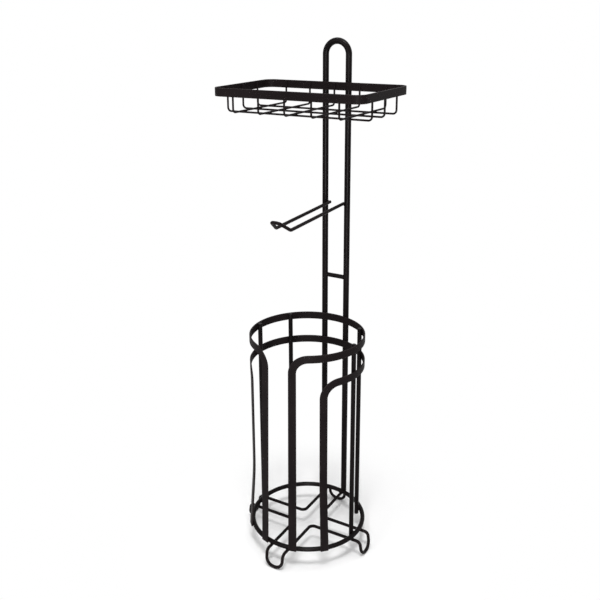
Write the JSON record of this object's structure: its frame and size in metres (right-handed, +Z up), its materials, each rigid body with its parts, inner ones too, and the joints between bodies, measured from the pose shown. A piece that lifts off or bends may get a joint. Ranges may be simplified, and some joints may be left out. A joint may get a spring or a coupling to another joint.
{
  "type": "toilet roll stand",
  "caption": "Free-standing welded wire stand for toilet rolls: open round cage for spare rolls, tall looped mast, hairpin roll arm and a wire tray on top.",
  "frame": {"origin": "on the floor under the centre of the round cage", "axes": "+Z up, -Y towards the open front of the cage, +X to the right as seen from the front; the mast stands at +Y"},
  "size_m": [0.2004, 0.1838, 0.668],
  "materials": {
    "painted_rod": "satin dark bronze",
    "painted_strip": "satin dark bronze",
    "painted_wire": "satin dark bronze"
  },
  "bodies": {
    "root": {"mast": "painted_rod", "mast_crossbar": "painted_rod", "base_ring": "painted_rod", "post_back_left": "painted_rod", "post_back_right": "painted_rod", "post_side_left": "painted_rod", "post_side_right": "painted_rod", "upper_hoop": "painted_strip", "lower_hoop": "painted_strip", "tray_rim": "painted_strip", "roll_arm": "painted_wire", "foot_wire_front": "painted_wire", "foot_wire_right": "painted_wire", "foot_wire_back": "painted_wire", "foot_wire_left": "painted_wire", "tray_cross_wire_1": "painted_wire", "tray_cross_wire_2": "painted_wire", "tray_cross_wire_3": "painted_wire", "tray_cross_wire_4": "painted_wire", "tray_cross_wire_5": "painted_wire", "tray_long_wire_1": "painted_wire", "tray_long_wire_2": "painted_wire", "tray_long_wire_3": "painted_wire"}
  },
  "joints": []
}
